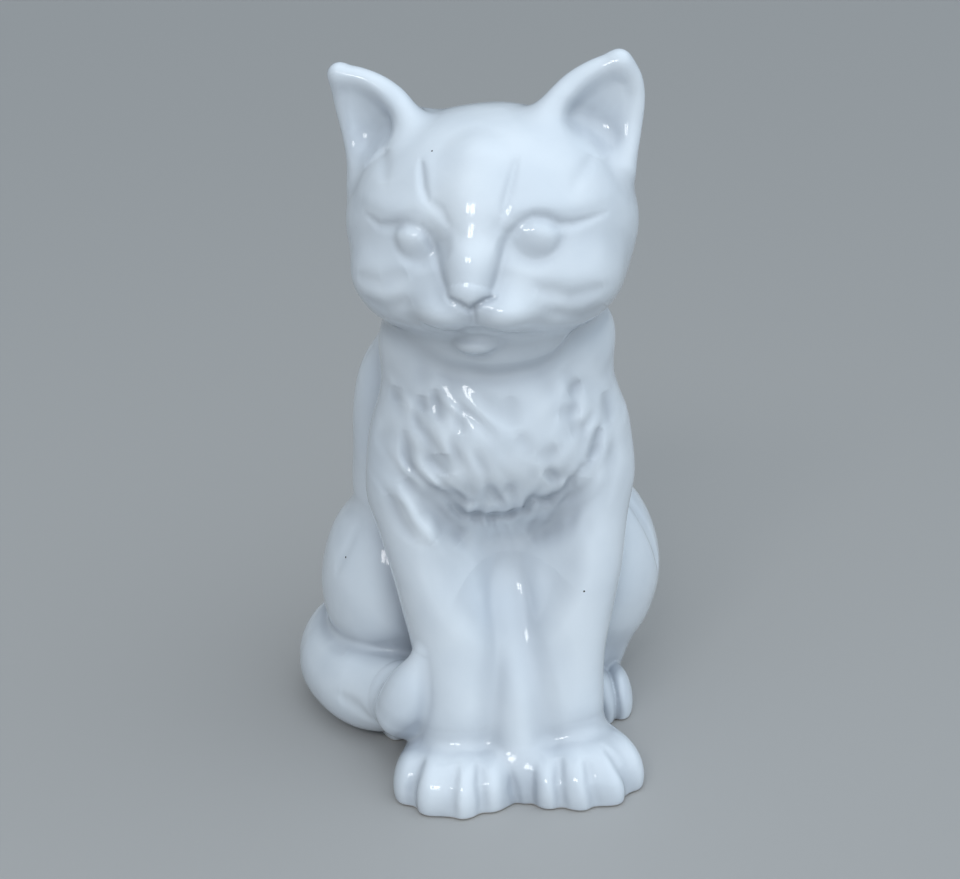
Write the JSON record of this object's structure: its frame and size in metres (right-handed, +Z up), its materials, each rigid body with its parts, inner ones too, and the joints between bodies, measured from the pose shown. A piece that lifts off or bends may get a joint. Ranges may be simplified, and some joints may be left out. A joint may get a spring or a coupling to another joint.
{
  "type": "ceramic cat figurine",
  "caption": "Sitting cat figurine in white glazed earthenware, hollow cast, with the head turned and the tail round one side.",
  "frame": {"origin": "on the underside of the base slab, in the floor plane, between the hind legs and the forelegs", "axes": "+Z up, the cat's chest faces -Y, +X is the cat's left side"},
  "size_m": [0.1385, 0.1432, 0.24],
  "materials": {
    "glaze": "glossy white glaze",
    "bisque": "unglazed fired clay"
  },
  "bodies": {
    "root": {"torso_casting": "glaze", "head_casting": "glaze", "left_ear": "glaze", "right_ear": "glaze", "left_foreleg": "glaze", "right_foreleg": "glaze", "foreleg_web": "glaze", "left_haunch": "glaze", "right_haunch": "glaze", "left_hind_paw": "glaze", "right_hind_paw": "glaze", "tail": "glaze", "base_slab": "bisque"}
  },
  "joints": []
}
